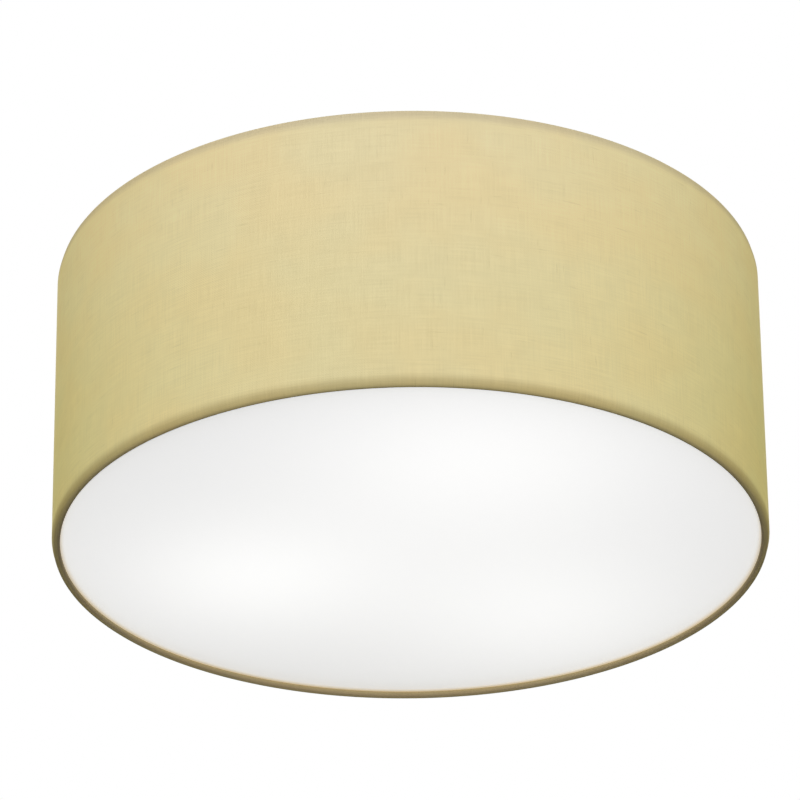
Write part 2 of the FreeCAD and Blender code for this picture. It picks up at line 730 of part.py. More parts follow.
def earth_lead():
    """The lead from the middle pole and the tag that the earth screw holds."""
    x, y = EARTH_SCREW_AT
    barrel_z = PAN_FLOOR + TAG_BARREL_DIAMETER / 2
    hole = cylinder(SCREW_DIAMETER / 2 + THREAD_PLAY, PAN_FLOOR, PAN_FLOOR + TAG_SHEET, x, y)
    tag = cylinder(TAG_DIAMETER / 2, PAN_FLOOR, PAN_FLOOR + TAG_SHEET, x, y).cut(hole)
    near, far = TAG_BARREL
    start = point(x + near, y, barrel_z)
    barrel = Part.makeCylinder(TAG_BARREL_DIAMETER / 2, far - near, start, point(1, 0, 0))
    half = BLOCK_FRONT - LEAD_STRAIGHT - y
    route = [
        point(0, BLOCK_FRONT + BLOCK_ENTRY_DEPTH, -EARTH_LEVEL),
        point(0, BLOCK_FRONT - LEAD_STRAIGHT, -EARTH_LEVEL),
        point(-half, y, barrel_z),
        point(x + far, y, barrel_z),
    ]
    first = 0.45 * LEAD_STRAIGHT / tan((route[1] - route[0]).getAngle(route[2] - route[1]) / 2)
    last = 0.45 * (route[3] - route[2]).Length / tan((route[2] - route[1]).getAngle(route[3] - route[2]) / 2)
    return tag.fuse(barrel), tube(route, [first, last])


def export_shade():
    export("shade_cloth", shade_cloth())
    export("shade_liner", shade_liner())
    export("top_ring", wire_ring(TOP_RING_Z))
    export("bottom_ring", wire_ring(BOTTOM_RING_Z))
    for number, angle in enumerate(ARM_ANGLES, 1):
        export(f"arm_{number}", turned(arm(), angle))
    export("diffuser", diffuser())


def export_ceiling_side():
    export("mounting_bar", mounting_bar())
    export("ceiling_pan", ceiling_pan())
    export("pan_screws", *pan_screws())
    stud_angles = [angle - TWIST_ANGLE / 2 for angle in ARM_ANGLES]
    export("hanging_studs", *[hanging_stud(*at_angle(STUD_CIRCLE, angle)) for angle in stud_angles])
    export("lamp_bracket", lamp_bracket())
    export("bracket_rivets", *[bracket_rivet(angle) for angle in ARM_ANGLES])
    export("lead_grommet", lead_grommet())
    export("holder_nipples", *[turned(holder_nipple(), angle) for angle in LAMP_ANGLES])
    export("holder_nuts", *[turned(holder_nut(), angle) for angle in LAMP_ANGLES])


def export_lamps():
    parts = {
        "lampholder": lampholder(),
        "screw_shell": screw_shell(),
        "contact_pin": contact_pin(),
        "lamp_cap": lamp_cap(),
        "lamp_housing": lamp_housing(),
        "lamp_globe": lamp_globe(),
    }
    for name, shape in parts.items():
        for number, angle in enumerate(LAMP_ANGLES, 1):
            export(f"{name}_{number}", turned(shape, angle))


def export_wiring():
    export("terminal_block", terminal_block())
    export("live_leads", *live_leads())
    export("neutral_leads", *neutral_leads())
    export("earth_screw", earth_screw())
    export("earth_lead", *earth_lead())


os.makedirs("parts", exist_ok=True)
export_shade()
export_ceiling_side()
export_lamps()
export_wiring()
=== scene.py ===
import json
from math import atan, cos, pi, radians, sin

import bmesh
import bpy
from mathutils import Matrix, Vector


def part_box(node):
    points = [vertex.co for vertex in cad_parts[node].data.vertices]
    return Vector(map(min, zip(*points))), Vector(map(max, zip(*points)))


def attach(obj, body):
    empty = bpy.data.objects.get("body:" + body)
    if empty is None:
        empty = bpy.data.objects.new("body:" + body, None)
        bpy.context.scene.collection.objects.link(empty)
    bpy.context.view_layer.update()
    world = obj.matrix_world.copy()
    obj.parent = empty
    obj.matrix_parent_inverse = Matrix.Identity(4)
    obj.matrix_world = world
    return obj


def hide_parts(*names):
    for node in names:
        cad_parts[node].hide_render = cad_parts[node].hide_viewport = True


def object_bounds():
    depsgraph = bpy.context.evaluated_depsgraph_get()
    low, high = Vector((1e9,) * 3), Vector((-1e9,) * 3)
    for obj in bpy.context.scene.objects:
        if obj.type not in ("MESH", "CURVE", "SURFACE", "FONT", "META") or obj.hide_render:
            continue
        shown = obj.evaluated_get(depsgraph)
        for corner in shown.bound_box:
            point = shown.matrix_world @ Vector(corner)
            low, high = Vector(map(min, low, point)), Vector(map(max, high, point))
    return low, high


# Looks of a flush mount drum ceiling light, in metres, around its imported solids.
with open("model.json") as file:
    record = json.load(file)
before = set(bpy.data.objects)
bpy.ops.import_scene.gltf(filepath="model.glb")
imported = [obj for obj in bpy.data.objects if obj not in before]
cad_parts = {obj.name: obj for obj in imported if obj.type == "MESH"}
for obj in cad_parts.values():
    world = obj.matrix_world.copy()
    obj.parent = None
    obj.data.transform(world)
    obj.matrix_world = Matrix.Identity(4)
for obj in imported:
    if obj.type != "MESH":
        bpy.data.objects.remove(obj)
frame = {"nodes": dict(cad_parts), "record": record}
cad_low, cad_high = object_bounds()
nodes = frame["nodes"]

# Camera of the photograph, an image of 800 by 800 pixels
IMAGE_SIZE = 800
FRONT = -16  # azimuth of the camera in degrees; 0 is on the -Y side
VIEW_AZIMUTH = radians(FRONT)
VIEW_ELEVATION = radians(-26.0)
VIEW_ROLL = radians(0.66)
VIEW_DISTANCE = 3.72
FOCAL_PIXELS = 5333
SENSOR = 36.0
DISC_CENTRE_X = 410.8  # pixel where the middle of the shade's lower rim lies
DISC_CENTRE_Y = 551.6

# Lights and surroundings
AMBIENT = 0.06  # strength of the glow all round, where white is 1
LIGHT_SIZE = 3.0
FLOOR_HALF = 1.5
FLOOR_LEVEL = -6.0
FLOOR_WHITE = 0.6  # added for the camera alone, so that the floor shows as pale as the background

# Shade
ARM_ANGLES = (90, 210, 330)
CLOTH = 0.0006
LINER = 0.0008
GLUE = 0.0001
RING_WIRE = 0.0035
HEM_RISE = 0.003  # height over which the cloth draws in to the ring
HEM_STEP = 0.0006  # between the wall's first rows of points above that
HEM_SHADE = 0.0105  # height over which painted shade darkens the hem towards its edge and the painted glow fades
NOTCH = (0.0168, 0.0023)  # width and height of the slit for an arm
SEAM_ANGLE = 110  # from +X, at the back of the photograph's view
SEAM_WIDTH = 0.012
SEAM_STEP = 0.0005
SEAM_SLOPE = 0.0002  # width of the step at the lap's edges
FOLD_STEPS = 20  # round the cloth's fold over a ring wire
WIRE_SIDES = 16
ROUND_SEGMENTS = 360
SHADE_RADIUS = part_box("shade_liner")[1].x + GLUE + CLOTH

# Ceiling side
STUD_TURN = -5  # from an arm to its stud when the shade is locked
PAN_SCREW_X = 0.056
PAN_SHEET = 0.0008
SCREW_RADIUS = 0.002
SCREW_PITCH = 0.0007
SCREW_THREAD = 0.0004  # depth
SCREW_HEAD = (0.0024, 0.004)  # height and radius
RIVET_CIRCLE = 0.015
EARTH_SCREW_AT = (-0.026, 0.016)
TAG_SHEET = 0.0008
TAG_RADIUS = 0.0042
TAG_BARREL = (0.004, 0.008)  # from the earth screw's axis
TAG_BARREL_RADIUS = 0.0016
EARTH_LEVEL = 0.0168  # below the ceiling
EARTH_BEND = 0.01
POLE_PITCH = 0.012
BLOCK_FRONT = 0.033
BLOCK_ENTRY_DEPTH = 0.004
TURRET_DEPTH = 0.006
TURRET_SUNK = 0.0018  # from the turret's top down to its screw's
TURRET_SCREW_RADIUS = 0.0021
LEAD_RADIUS = 0.001
LEAD_RING = 0.0027  # circle of the six leads in the grommet
LEAD_SPREAD = 30  # from a lamp's direction to its leads on that circle
LEAD_LEVELS = (0.0058, 0.0082, 0.0106, 0.0130)  # below the ceiling
LEAD_TOP_BENDS = (0.011, 0.008, 0.008, 0.006)
LEAD_STRAIGHT = 0.009
LEAD_END = 0.0345  # from the centre, inside a lampholder

# Lamps, each along its own axis
LAMP_ANGLES = (270, 30, 150)
LAMP_Z = (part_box("lampholder_1")[0].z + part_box("lampholder_1")[1].z) / 2
THREAD_PITCH = 0.003629
CAP_THREAD = 0.0011  # depth
SHELL_THREAD = 0.0009
SHELL_SHEET = 0.0005
HOLDER_RIBS = 36
GLOBE_WALL = 0.0015
LAMP_RADIUS = 0.03

# Meshes
SMALL_STEPS = 48  # round a screw or pin
MIDDLE_STEPS = 64
THREAD_STEPS = 96  # round a wide thread, nut or grommet
LAMP_STEPS = 128
RIB_STEPS = 8  # for each rib of a lampholder
THREAD_ROWS = 12  # of points along each pitch of a lamp's thread
SCREW_ROWS = 8  # and of a screw's
BEND_STEPS = 10  # in each bend of a lead
DOME_STEPS = 6  # round the edge of a domed head
SHARP_ANGLE = radians(35)  # corners sharper than this aren't smoothed
CORNER_SHARE = 0.45  # the most of a line's side that a rounded corner takes up


def on_circle(radius, angle):
    """x and y on a circle round the light's axis."""
    return radius * cos(radians(angle)), radius * sin(radians(angle))


# Nodes of materials

def node(tree, kind, *sources, **settings):
    """A shader node; each source goes to the input of its place, as a link or as a value."""
    made = tree.nodes.new("ShaderNode" + kind)
    for key, value in settings.items():
        setattr(made, key, value)
    for place, source in enumerate(sources):
        if isinstance(source, bpy.types.NodeSocket):
            tree.links.new(source, made.inputs[place])
        elif source is not None:
            made.inputs[place].default_value = source
    return made


def maths(tree, operation, *sources):
    return node(tree, "Math", *sources, operation=operation).outputs[0]


def scaled(tree, vector, factors):
    return node(tree, "VectorMath", vector, factors, operation="MULTIPLY").outputs[0]


def parts(tree, vector):
    return node(tree, "SeparateXYZ", vector).outputs


def from_axis(tree, vector):
    """Distance of a place from the light's axis."""
    return node(tree, "VectorMath", scaled(tree, vector, (1, 1, 0)), operation="LENGTH").outputs["Value"]


def noise(tree, vector, sizes, detail=2.0, roughness=0.5):
    """Noise whose grain is about this large, in the vector's own units, along each axis."""
    factors = [1 / size for size in sizes]
    made = node(tree, "TexNoise", scaled(tree, vector, factors), None, 1.0, detail, roughness)
    return made.outputs[0]


def between(tree, value, low, high, to_low=0.0, to_high=1.0):
    """A smooth step of the value from low to high."""
    made = node(tree, "MapRange", value, low, high, to_low, to_high, interpolation_type="SMOOTHSTEP")
    return made.outputs[0]


def mixed(tree, factor, first, second, mode="MIX"):
    made = node(tree, "Mix", data_type="RGBA", blend_type=mode)
    for place, source in ((0, factor), (6, first), (7, second)):
        if isinstance(source, bpy.types.NodeSocket):
            tree.links.new(source, made.inputs[place])
        elif place == 0:
            made.inputs[place].default_value = source
        else:
            made.inputs[place].default_value = (*source, 1.0)
    return made.outputs[2]


def relief(tree, height, distance, strength=1.0):
    return node(tree, "Bump", strength, distance, 1.0, height).outputs["Normal"]


def surface(name):
    """A new material: its node tree, its shader and its texture coordinates."""
    material = bpy.data.materials.new(name)
    material.use_nodes = True
    tree = material.node_tree
    return material, tree, tree.nodes["Principled BSDF"], node(tree, "TexCoord").outputs


def feed(tree, shader, **sockets):
    """Sets the shader's inputs, named in lower case with _ for a space."""
    for name, source in sockets.items():
        entry = next(i for i in shader.inputs if i.name.lower().replace(" ", "_") == name)
        if isinstance(source, bpy.types.NodeSocket):
            tree.links.new(source, entry)
        elif isinstance(source, tuple):
            entry.default_value = (*source, 1.0)
        else:
            entry.default_value = source


def linear(red, green, blue):
    """A colour from its 0-255 values as a picture stores them."""
    shares = [value / 255 for value in (red, green, blue)]
    return tuple(s / 12.92 if s <= 0.04045 else ((s + 0.055) / 1.055) ** 2.4 for s in shares)


def shade_rings():
    """Radius of both ring wires and the heights of the lower and the upper one."""
    (low, high), (top_low, top_high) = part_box("bottom_ring"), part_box("top_ring")
    return high.x - RING_WIRE / 2, (low.z + high.z) / 2, (top_low.z + top_high.z) / 2


# Materials

SOFT = (0.3, 0.7)  # levels of a noise between which a tone changes
GRAIN = (0.2, 0.8)  # and between which a roughness does


def woven_fabric():
    """Linen-look weave on texture coordinates in metres: yarns both ways, slubs and a soft change of tone.
    The wall has a painted glow for the lamps' light through it. Painted shade darkens the cloth at its lower
    hem and where it turns in round the ring."""
    material, tree, shader, coordinates = surface("woven_cloth")
    uv, place = coordinates["UV"], coordinates["Object"]
    height = parts(tree, place)[2]
    low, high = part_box("shade_cloth")
    ring, lower_ring, _ = shade_rings()

    yarn, run = 0.0009, 0.03
    warp = noise(tree, uv, (yarn, run, 1), 1.0)
    weft = noise(tree, uv, (run, yarn, 1), 1.0)
    across, along = parts(tree, uv)[:2]
    over = maths(tree, "SINE", maths(tree, "MULTIPLY", across, pi / yarn))
    under = maths(tree, "SINE", maths(tree, "MULTIPLY", along, pi / yarn))
    crossing = maths(tree, "MULTIPLY", over, under)
    yarns = maths(tree, "ADD", maths(tree, "ADD", warp, weft), maths(tree, "MULTIPLY", crossing, 0.1))

    thick = (0.66, 0.78)
    slub_up = between(tree, noise(tree, uv, (0.0017, 0.016, 1), 1.5), *thick)
    elsewhere = scaled(tree, uv, (1, 1.07, 1))
    slub_along = between(tree, noise(tree, elsewhere, (0.019, 0.0017, 1), 1.5), *thick)
    slubs = maths(tree, "MAXIMUM", slub_up, slub_along)

    tone = between(tree, noise(tree, uv, (0.07, 0.06, 1), 2.0), *SOFT)
    cloud = between(tree, noise(tree, uv, (0.018, 0.018, 1), 2.0), 0.25, 0.75, 0.985, 1.015)
    shade = maths(tree, "MULTIPLY", between(tree, yarns, 0.6, 1.4, 0.95, 1.03), cloud)
    shade = maths(tree, "SUBTRACT", shade, maths(tree, "MULTIPLY", slubs, 0.07))
    grey = node(tree, "CombineColor", shade, shade, shade).outputs[0]
    cream = mixed(tree, tone, linear(226, 209, 170), linear(224, 211, 175))
    cream = mixed(tree, 1.0, cream, grey, "MULTIPLY")

    # painted shade: wall rises from 0 at the lower edge to 1 above the hem's band, and hem is the cloth
    # darkened and browned for that band
    wall = between(tree, height, low.z, low.z + HEM_SHADE)
    hem = mixed(tree, 1.0, cream, (0.88, 0.85, 0.54), "MULTIPLY")
    # painted shade where the cloth turns in round the ring wire, on its inner side and the wire's top
    # quarter
    inward = maths(tree, "SUBTRACT", ring, from_axis(tree, place))
    raised = maths(tree, "SUBTRACT", height, lower_ring)
    raised = node(tree, "Clamp", raised, 0.0, RING_WIRE / 4).outputs[0]
    turned_in_shade = between(tree, maths(tree, "ADD", inward, raised), 0.0, RING_WIRE / 2)
    painted_inner_shade = mixed(tree, 1.0, cream, (0.5, 0.46, 0.36), "MULTIPLY")
    colour = mixed(tree, turned_in_shade, mixed(tree, wall, hem, cream), painted_inner_shade)

    # painted glow for the lamps' light through the cloth: none at the lower edge, weaker at the top hem,
    # stronger towards the top and yellower towards the bottom
    below_top = between(tree, height, high.z - HEM_RISE, high.z - HEM_SHADE, 0.4, 1.0)
    lit = maths(tree, "MULTIPLY", wall, below_top)
    lit = maths(tree, "MULTIPLY", lit, between(tree, height, low.z, high.z, 1.05, 1.3))
    glow_tint = mixed(tree, between(tree, height, low.z, high.z), (0.98, 1.05, 0.3), (0.98, 1.0, 0.55))
    yarn_height = maths(tree, "ADD", yarns, maths(tree, "MULTIPLY", crossing, 0.35))
    yarn_height = maths(tree, "ADD", yarn_height, slubs)
    feed(
        tree, shader, base_color=colour, roughness=0.92, normal=relief(tree, yarn_height, 0.00012, 0.6),
        emission_color=mixed(tree, 1.0, colour, glow_tint, "MULTIPLY"),
        emission_strength=maths(tree, "MULTIPLY", lit, 0.27),
        sheen_weight=0.05, sheen_roughness=0.5, specular_ior_level=0.12,
    )
    return material


def opal_sheet():
    """Satin opal sheet with a painted glow for the lamps' light through it, brighter below each lamp, and
    painted shade and a warm painted reflection at its rim, which lies on the hem. Its upper face has less
    painted glow than its lower one."""
    material, tree, shader, coordinates = surface("opal_sheet")
    place = coordinates["Object"]
    x, y, z = parts(tree, place)
    low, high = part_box("diffuser")
    radius = high.x
    off_middle = from_axis(tree, place)
    middle, edge_loss, rim_shade_loss, upper_glow_share = 0.589, 0.055, 0.45, 0.45
    # rim is the share of painted rim shade, from 0 inside to 1 at the disc's edge
    rim = between(tree, off_middle, 0.974 * radius, radius)
    square = maths(tree, "POWER", off_middle, 2.0)
    bright = maths(tree, "MULTIPLY_ADD", square, -edge_loss / radius ** 2, middle)
    # each lamp's painted spot of light: angle, distance from the middle and size in radii of the disc, and
    # brightness
    spots = ((140, 0.51, 0.27, 0.147), (274, 0.60, 0.38, 0.144), (34.6, 0.61, 0.31, 0.125))
    for angle, share, size, brightness in spots:
        spot_x, spot_y = on_circle(share * radius, angle)
        away_x = maths(tree, "POWER", maths(tree, "SUBTRACT", x, spot_x), 2.0)
        away_y = maths(tree, "POWER", maths(tree, "SUBTRACT", y, spot_y), 2.0)
        away = maths(tree, "ADD", away_x, away_y)
        falloff = maths(tree, "EXPONENT", maths(tree, "MULTIPLY", away, -0.5 / (size * radius) ** 2))
        bright = maths(tree, "ADD", bright, maths(tree, "MULTIPLY", falloff, brightness))
    # painted shade: the glow dims towards the rim
    bright = maths(tree, "MULTIPLY", bright, maths(tree, "MULTIPLY_ADD", rim, -rim_shade_loss, 1.0))
    # painted glow: the upper face glows less than the lower one
    bright = maths(tree, "MULTIPLY", bright, between(tree, z, low.z, high.z, 1.0, upper_glow_share))
    cloudy = noise(tree, place, (0.02, 0.02, 0.02), 2.0)
    white = mixed(tree, cloudy, (0.86, 0.87, 0.85), (0.89, 0.89, 0.865))
    # painted shade and a warm painted reflection of the hem: darker, browner base colour and warmer glow at
    # the rim
    white = mixed(tree, rim, white, (0.76, 0.68, 0.50))
    glow = mixed(tree, rim, (1.0, 1.0, 0.975), (1.0, 0.86, 0.62))
    satin = noise(tree, place, (0.0012, 0.0012, 0.0012), 1.0)
    feed(
        tree, shader, base_color=white, roughness=0.4, normal=relief(tree, satin, 0.00002, 0.3),
        emission_color=glow, emission_strength=bright,
    )
    return material


def plain(name, colour, second, roughness, grain=0.0015, depth=0.00003, **more):
    """A matt or glossy finish: two close tones in soft clouds, with a fine grain."""
    material, tree, shader, coordinates = surface(name)
    place = coordinates["Object"]
    tone = mixed(tree, between(tree, noise(tree, place, (0.015,) * 3, 3.0), *SOFT), colour, second)
    fine = noise(tree, place, (grain,) * 3, 2.0)
    rough = between(tree, fine, *GRAIN, roughness - 0.05, roughness + 0.05)
    feed(tree, shader, base_color=tone, roughness=rough, normal=relief(tree, fine, depth, 0.5), **more)
    return material


def metal(name, colour, second, roughness, grain=(0.0004, 0.0004, 0.006)):
    """Plated metal with fine drawing marks."""
    material, tree, shader, coordinates = surface(name)
    place = coordinates["Object"]
    marks = noise(tree, place, grain, 2.0)
    clouds = noise(tree, place, (0.008,) * 3, 3.0)
    tone = mixed(tree, between(tree, clouds, *SOFT), colour, second)
    rough = between(tree, marks, *GRAIN, roughness - 0.08, roughness + 0.1)
    bumps = relief(tree, marks, 0.00002, 0.4)
    feed(tree, shader, base_color=tone, metallic=1.0, roughness=rough, normal=bumps)
    return material


def striped_insulation():
    """Green insulation with two yellow stripes along the lead, on texture coordinates in metres."""
    material, tree, shader, coordinates = surface("striped_insulation")
    around = parts(tree, coordinates["UV"])[0]
    wave = maths(tree, "SINE", maths(tree, "MULTIPLY", around, 2 / LEAD_RADIUS))
    stripe = between(tree, wave, 0.05, 0.2)
    fine = noise(tree, coordinates["Object"], (0.001,) * 3, 2.0)
    tone = mixed(tree, stripe, (0.07, 0.27, 0.03), (0.66, 0.56, 0.02))
    rough = between(tree, fine, *GRAIN, 0.36, 0.46)
    feed(tree, shader, base_color=tone, roughness=rough, normal=relief(tree, fine, 0.00003, 0.4))
    return material


finishes = {
    "shade_fabric": woven_fabric(),
    "liner_film": plain("film", (0.84, 0.83, 0.79), (0.88, 0.87, 0.83), 0.55),
    "white_wire": plain("wire_enamel", (0.80, 0.80, 0.78), (0.84, 0.84, 0.82), 0.35),
    "opal_acrylic": opal_sheet(),
    "white_enamel": plain("pan_enamel", (0.82, 0.82, 0.81), (0.86, 0.86, 0.85), 0.3, 0.0008, 0.00004),
    "zinc_steel": metal("zinc", (0.38, 0.40, 0.42), (0.50, 0.51, 0.52), 0.36),
    "brass": metal("yellow_brass", (0.78, 0.60, 0.30), (0.70, 0.52, 0.24), 0.3),
    "holder_plastic": plain("holder", (0.80, 0.80, 0.77), (0.83, 0.83, 0.81), 0.45),
    "cap_metal": metal("nickel", (0.72, 0.71, 0.69), (0.78, 0.77, 0.75), 0.25),
    "lamp_body_plastic": plain("lamp_body", (0.85, 0.85, 0.84), (0.88, 0.88, 0.87), 0.35),
    "lamp_globe_plastic": plain(
        "lamp_globe", (0.88, 0.88, 0.86), (0.9, 0.9, 0.88), 0.4,
        emission_color=(1.0, 0.95, 0.86), emission_strength=0.75),
    "block_plastic": plain("block", (0.74, 0.74, 0.69), (0.78, 0.78, 0.74), 0.5),
    "grey_rubber": plain("rubber", (0.09, 0.09, 0.095), (0.13, 0.13, 0.135), 0.8),
    "live_insulation": plain("brown_insulation", (0.10, 0.035, 0.014), (0.13, 0.045, 0.02), 0.4),
    "neutral_insulation": plain("blue_insulation", (0.012, 0.06, 0.30), (0.02, 0.08, 0.36), 0.4),
    "earth_insulation": striped_insulation(),
}


# Meshes

def mesh_object(name, points, faces, uvs, body, finish, replaced):
    """A smooth piece with sharp corners, that rides on a body."""
    mesh = bpy.data.meshes.new(name)
    mesh.from_pydata(points, [], faces)
    layer = mesh.uv_layers.new(name="UVMap")
    for corner, uv in zip(layer.data, uvs):
        corner.uv = uv
    work = bmesh.new()
    work.from_mesh(mesh)
    bmesh.ops.remove_doubles(work, verts=work.verts, dist=1e-7)
    bmesh.ops.recalc_face_normals(work, faces=work.faces)
    work.to_mesh(mesh)
    work.free()
    mesh.shade_smooth()
    mesh.set_sharp_from_angle(angle=SHARP_ANGLE)
    mesh.materials.append(finishes[finish])
    made = bpy.data.objects.new(name, mesh)
    bpy.context.scene.collection.objects.link(made)
    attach(made, body)
    if replaced:
        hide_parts(replaced)
    return made


def softened(corners, size, steps=4, closed=True):
    """The same line of points with rounded corners, each over this length, or less where a side is short."""
    made = []
    last = len(corners) - 1
    for i, corner in enumerate(corners):
        corner = Vector(corner)
        length = size[i] if isinstance(size, (list, tuple)) else size
        if not length or (not closed and i in (0, last)):
            made.append(corner)
            continue
        sides = [Vector(corners[i - 1]) - corner, Vector(corners[(i + 1) % (last + 1)]) - corner]
        cut = min(length, *(CORNER_SHARE * side.length for side in sides))
        start, end = (corner + side.normalized() * cut for side in sides)
        for step in range(steps + 1):
            t = step / steps
            made.append(start * (1 - t) ** 2 + corner * 2 * t * (1 - t) + end * t ** 2)
    return made


def sampled(profile, spacing):
    """The same closed line with points added where two lie further apart than the spacing."""
    made = []
    for i, start in enumerate(profile):
        start, end = Vector(start), Vector(profile[(i + 1) % len(profile)])
        count = max(1, round((end - start).length / spacing))
        made.extend(start.lerp(end, k / count) for k in range(count))
    return made


def lathe(name, profile, place, body, finish, replaced=None, turns=THREAD_STEPS, shape=None):
    """Turns a closed profile of (along, radius) points round the X axis of a place. turns is a number of
    steps or a list of angles. shape(along, radius, turn) gives another radius, as for threads and ribs."""
    if isinstance(turns, int):
        turns = [2 * pi * k / turns for k in range(turns)]
    count = len(profile)
    lengths = [0.0]
    for i, corner in enumerate(profile):
        following = profile[(i + 1) % count]
        lengths.append(lengths[-1] + (Vector(following) - Vector(corner)).length)
    widest = max(radius for along, radius in profile)
    points, faces, uvs = [], [], []
    for turn in turns:
        for along, radius in profile:
            radius = shape(along, radius, turn) if shape else radius
            points.append(place @ Vector((along, radius * cos(turn), radius * sin(turn))))
    for k, turn in enumerate(turns):
        ahead = (k + 1) % len(turns)
        u0, u1 = turn * widest, (turns[ahead] if ahead else 2 * pi) * widest
        for i in range(count):
            j = (i + 1) % count
            faces.append((k * count + i, ahead * count + i, ahead * count + j, k * count + j))
            uvs.extend([(u0, lengths[i]), (u1, lengths[i]), (u1, lengths[i + 1]), (u0, lengths[i + 1])])
    return mesh_object(name, points, faces, uvs, body, finish, replaced)


def threaded(near, far, pitch, depth, least, sunk=False):
    """A lathe shape: a right-hand thread between near and far, cut into what is wider than least. It fades
    out at both ends, or rises from its root at the near end where sunk."""
    def shape(along, radius, turn):
        if radius < least or not near <= along <= far:
            return radius
        fade_in, fade_out = min((along - near) / pitch, 1), min((far - along) / pitch, 1)
        groove = (0.5 - 0.5 * cos(2 * pi * along / pitch - turn)) * fade_out
        groove = 1 - fade_in * (1 - groove) if sunk else groove * fade_in
        return radius - depth * groove
    return shape


def swept(name, line, radius, body, finish, replaced=None, steps=16):
    """A round tube along points, closed at both ends."""
    points, faces, uvs = [], [], []
    along = (line[1] - line[0]).normalized()
    side = along.orthogonal().normalized()
    length = 0.0
    lengths = []
    for i, centre in enumerate(line):
        following = (line[min(i + 1, len(line) - 1)] - line[max(i - 1, 0)]).normalized()
        side = along.rotation_difference(following) @ side
        along = following
        length += (centre - line[i - 1]).length if i else 0.0
        lengths.append(length)
        up = along.cross(side)
        for k in range(steps):
            turn = 2 * pi * k / steps
            points.append(centre + (side * cos(turn) + up * sin(turn)) * radius)
    for i in range(len(line) - 1):
        for k in range(steps):
            j = (k + 1) % steps
            faces.append((i * steps + k, i * steps + j, (i + 1) * steps + j, (i + 1) * steps + k))
            u0, u1 = (2 * pi * radius * share / steps for share in (k, k + 1))
            uvs.extend([(u0, lengths[i]), (u1, lengths[i]), (u1, lengths[i + 1]), (u0, lengths[i + 1])])
    for first in (0, (len(line) - 1) * steps):
        faces.append(tuple(range(first, first + steps)))
        uvs.extend([(2 * pi * radius * k / steps, 0.0) for k in range(steps)])
    return mesh_object(name, points, faces, uvs, body, finish, replaced)


def block(size, centre, turn=0.0):
    """A cutter: a box of this size round a centre, turned about Z."""
    bpy.ops.mesh.primitive_cube_add(size=1, location=centre, rotation=(0, 0, turn))
    made = bpy.context.object
    made.scale = size
    return made


def carve(piece, cutters):
    """Cuts the boxes out of the piece."""
    bpy.context.view_layer.update()
    for cutter in cutters:
        step = piece.modifiers.new("cut", "BOOLEAN")
        step.object = cutter
        step.solver = "EXACT"
    whole = bpy.context.evaluated_depsgraph_get()
    mesh = bpy.data.meshes.new_from_object(piece.evaluated_get(whole))
    piece.modifiers.clear()
    piece.data = mesh
    mesh.set_sharp_from_angle(angle=SHARP_ANGLE)
    for cutter in cutters:
        bpy.data.objects.remove(cutter)


def upright(x=0.0, y=0.0, z=0.0, down=False):
    """A place whose X axis points up, or down."""
    return Matrix.Translation((x, y, z)) @ Matrix.Rotation(radians(90 if down else -90), 4, "Y")


# Shade

def ring_section(bend, height, start, end, steps, ring):
    """(height, radius) points on a circle round a ring wire's middle. 0 degrees is outwards, 90 down."""
    angles = [radians(start + (end - start) * i / steps) for i in range(steps + 1)]
    return [(height - bend * sin(a), ring + bend * cos(a)) for a in angles]


def cloth_profile():
    """Closed section of the cloth: its face from the lower free edge to the upper one, then its back."""
    ring, lower, upper = shade_rings()

    def side(bend, wall):
        hem = ring_section(bend, lower, 270, 0, FOLD_STEPS, ring)
        hem += [(lower + HEM_RISE + i * HEM_STEP, wall) for i in range(3)]
        return hem + [(lower + upper - z, r) for z, r in reversed(hem)]

    bend = RING_WIRE / 2 + GLUE
    return side(bend + CLOTH, SHADE_RADIUS) + side(bend, SHADE_RADIUS - CLOTH)[::-1]


def lapped(low, high):
    """A lathe shape: the cloth's lap, a second layer on the wall between two heights, from turn 0 on."""
    def shape(along, radius, turn):
        on_wall = low < along < high and radius > SHADE_RADIUS - CLOTH / 2
        on_lap = 0 < turn * SHADE_RADIUS < SEAM_WIDTH - SEAM_SLOPE / 2
        return radius + SEAM_STEP if on_wall and on_lap else radius
    return shape


def drum_cloth():
    """The cloth. Its weave starts and ends at the lap's edge, and its upper hem has a notch for each arm."""
    ring, lower, upper = shade_rings()
    turns = [2 * pi * k / ROUND_SEGMENTS for k in range(ROUND_SEGMENTS)]
    turns.extend(width / SHADE_RADIUS for width in (SEAM_SLOPE, SEAM_WIDTH - SEAM_SLOPE, SEAM_WIDTH))
    start = radians(SEAM_ANGLE - 90) - SEAM_WIDTH / 2 / SHADE_RADIUS
    place = upright() @ Matrix.Rotation(start, 4, "X")
    lap = lapped(lower + HEM_RISE, upper - HEM_RISE)
    cloth = lathe(
        "drum_cloth", cloth_profile(), place, "shade", "shade_fabric", "shade_cloth", sorted(turns), lap)
    inside = ring - RING_WIRE / 2 - GLUE - CLOTH
    cutters = []
    for angle in ARM_ANGLES:
        x, y = on_circle(inside, angle)
        cutters.append(block((4 * CLOTH, *NOTCH), (x, y, upper), radians(angle)))
    carve(cloth, cutters)


